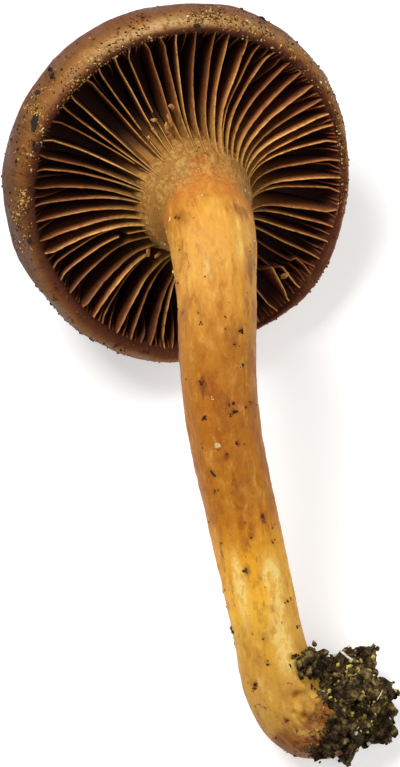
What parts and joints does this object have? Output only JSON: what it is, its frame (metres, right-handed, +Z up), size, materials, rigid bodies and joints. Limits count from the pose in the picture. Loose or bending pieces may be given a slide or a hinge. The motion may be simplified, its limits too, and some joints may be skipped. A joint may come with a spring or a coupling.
{
  "type": "pine spike mushroom",
  "caption": "Picked pine spike mushroom lying on its brown cap, gills up, with a bent yellow-ochre stem and a clump of earth at its foot.",
  "frame": {"origin": "centre of the resting footprint's bounding box, on the surface it lies on", "axes": "+Z up from the surface, +Y along the mushroom from the foot to the cap"},
  "size_m": [0.0674, 0.1262, 0.0465],
  "materials": {
    "cap_flesh": "satin",
    "stem_flesh": "satin",
    "earth": "matte"
  },
  "bodies": {
    "root": {"cap": "cap_flesh", "stem": "stem_flesh", "soil_clump": "earth"}
  },
  "joints": []
}
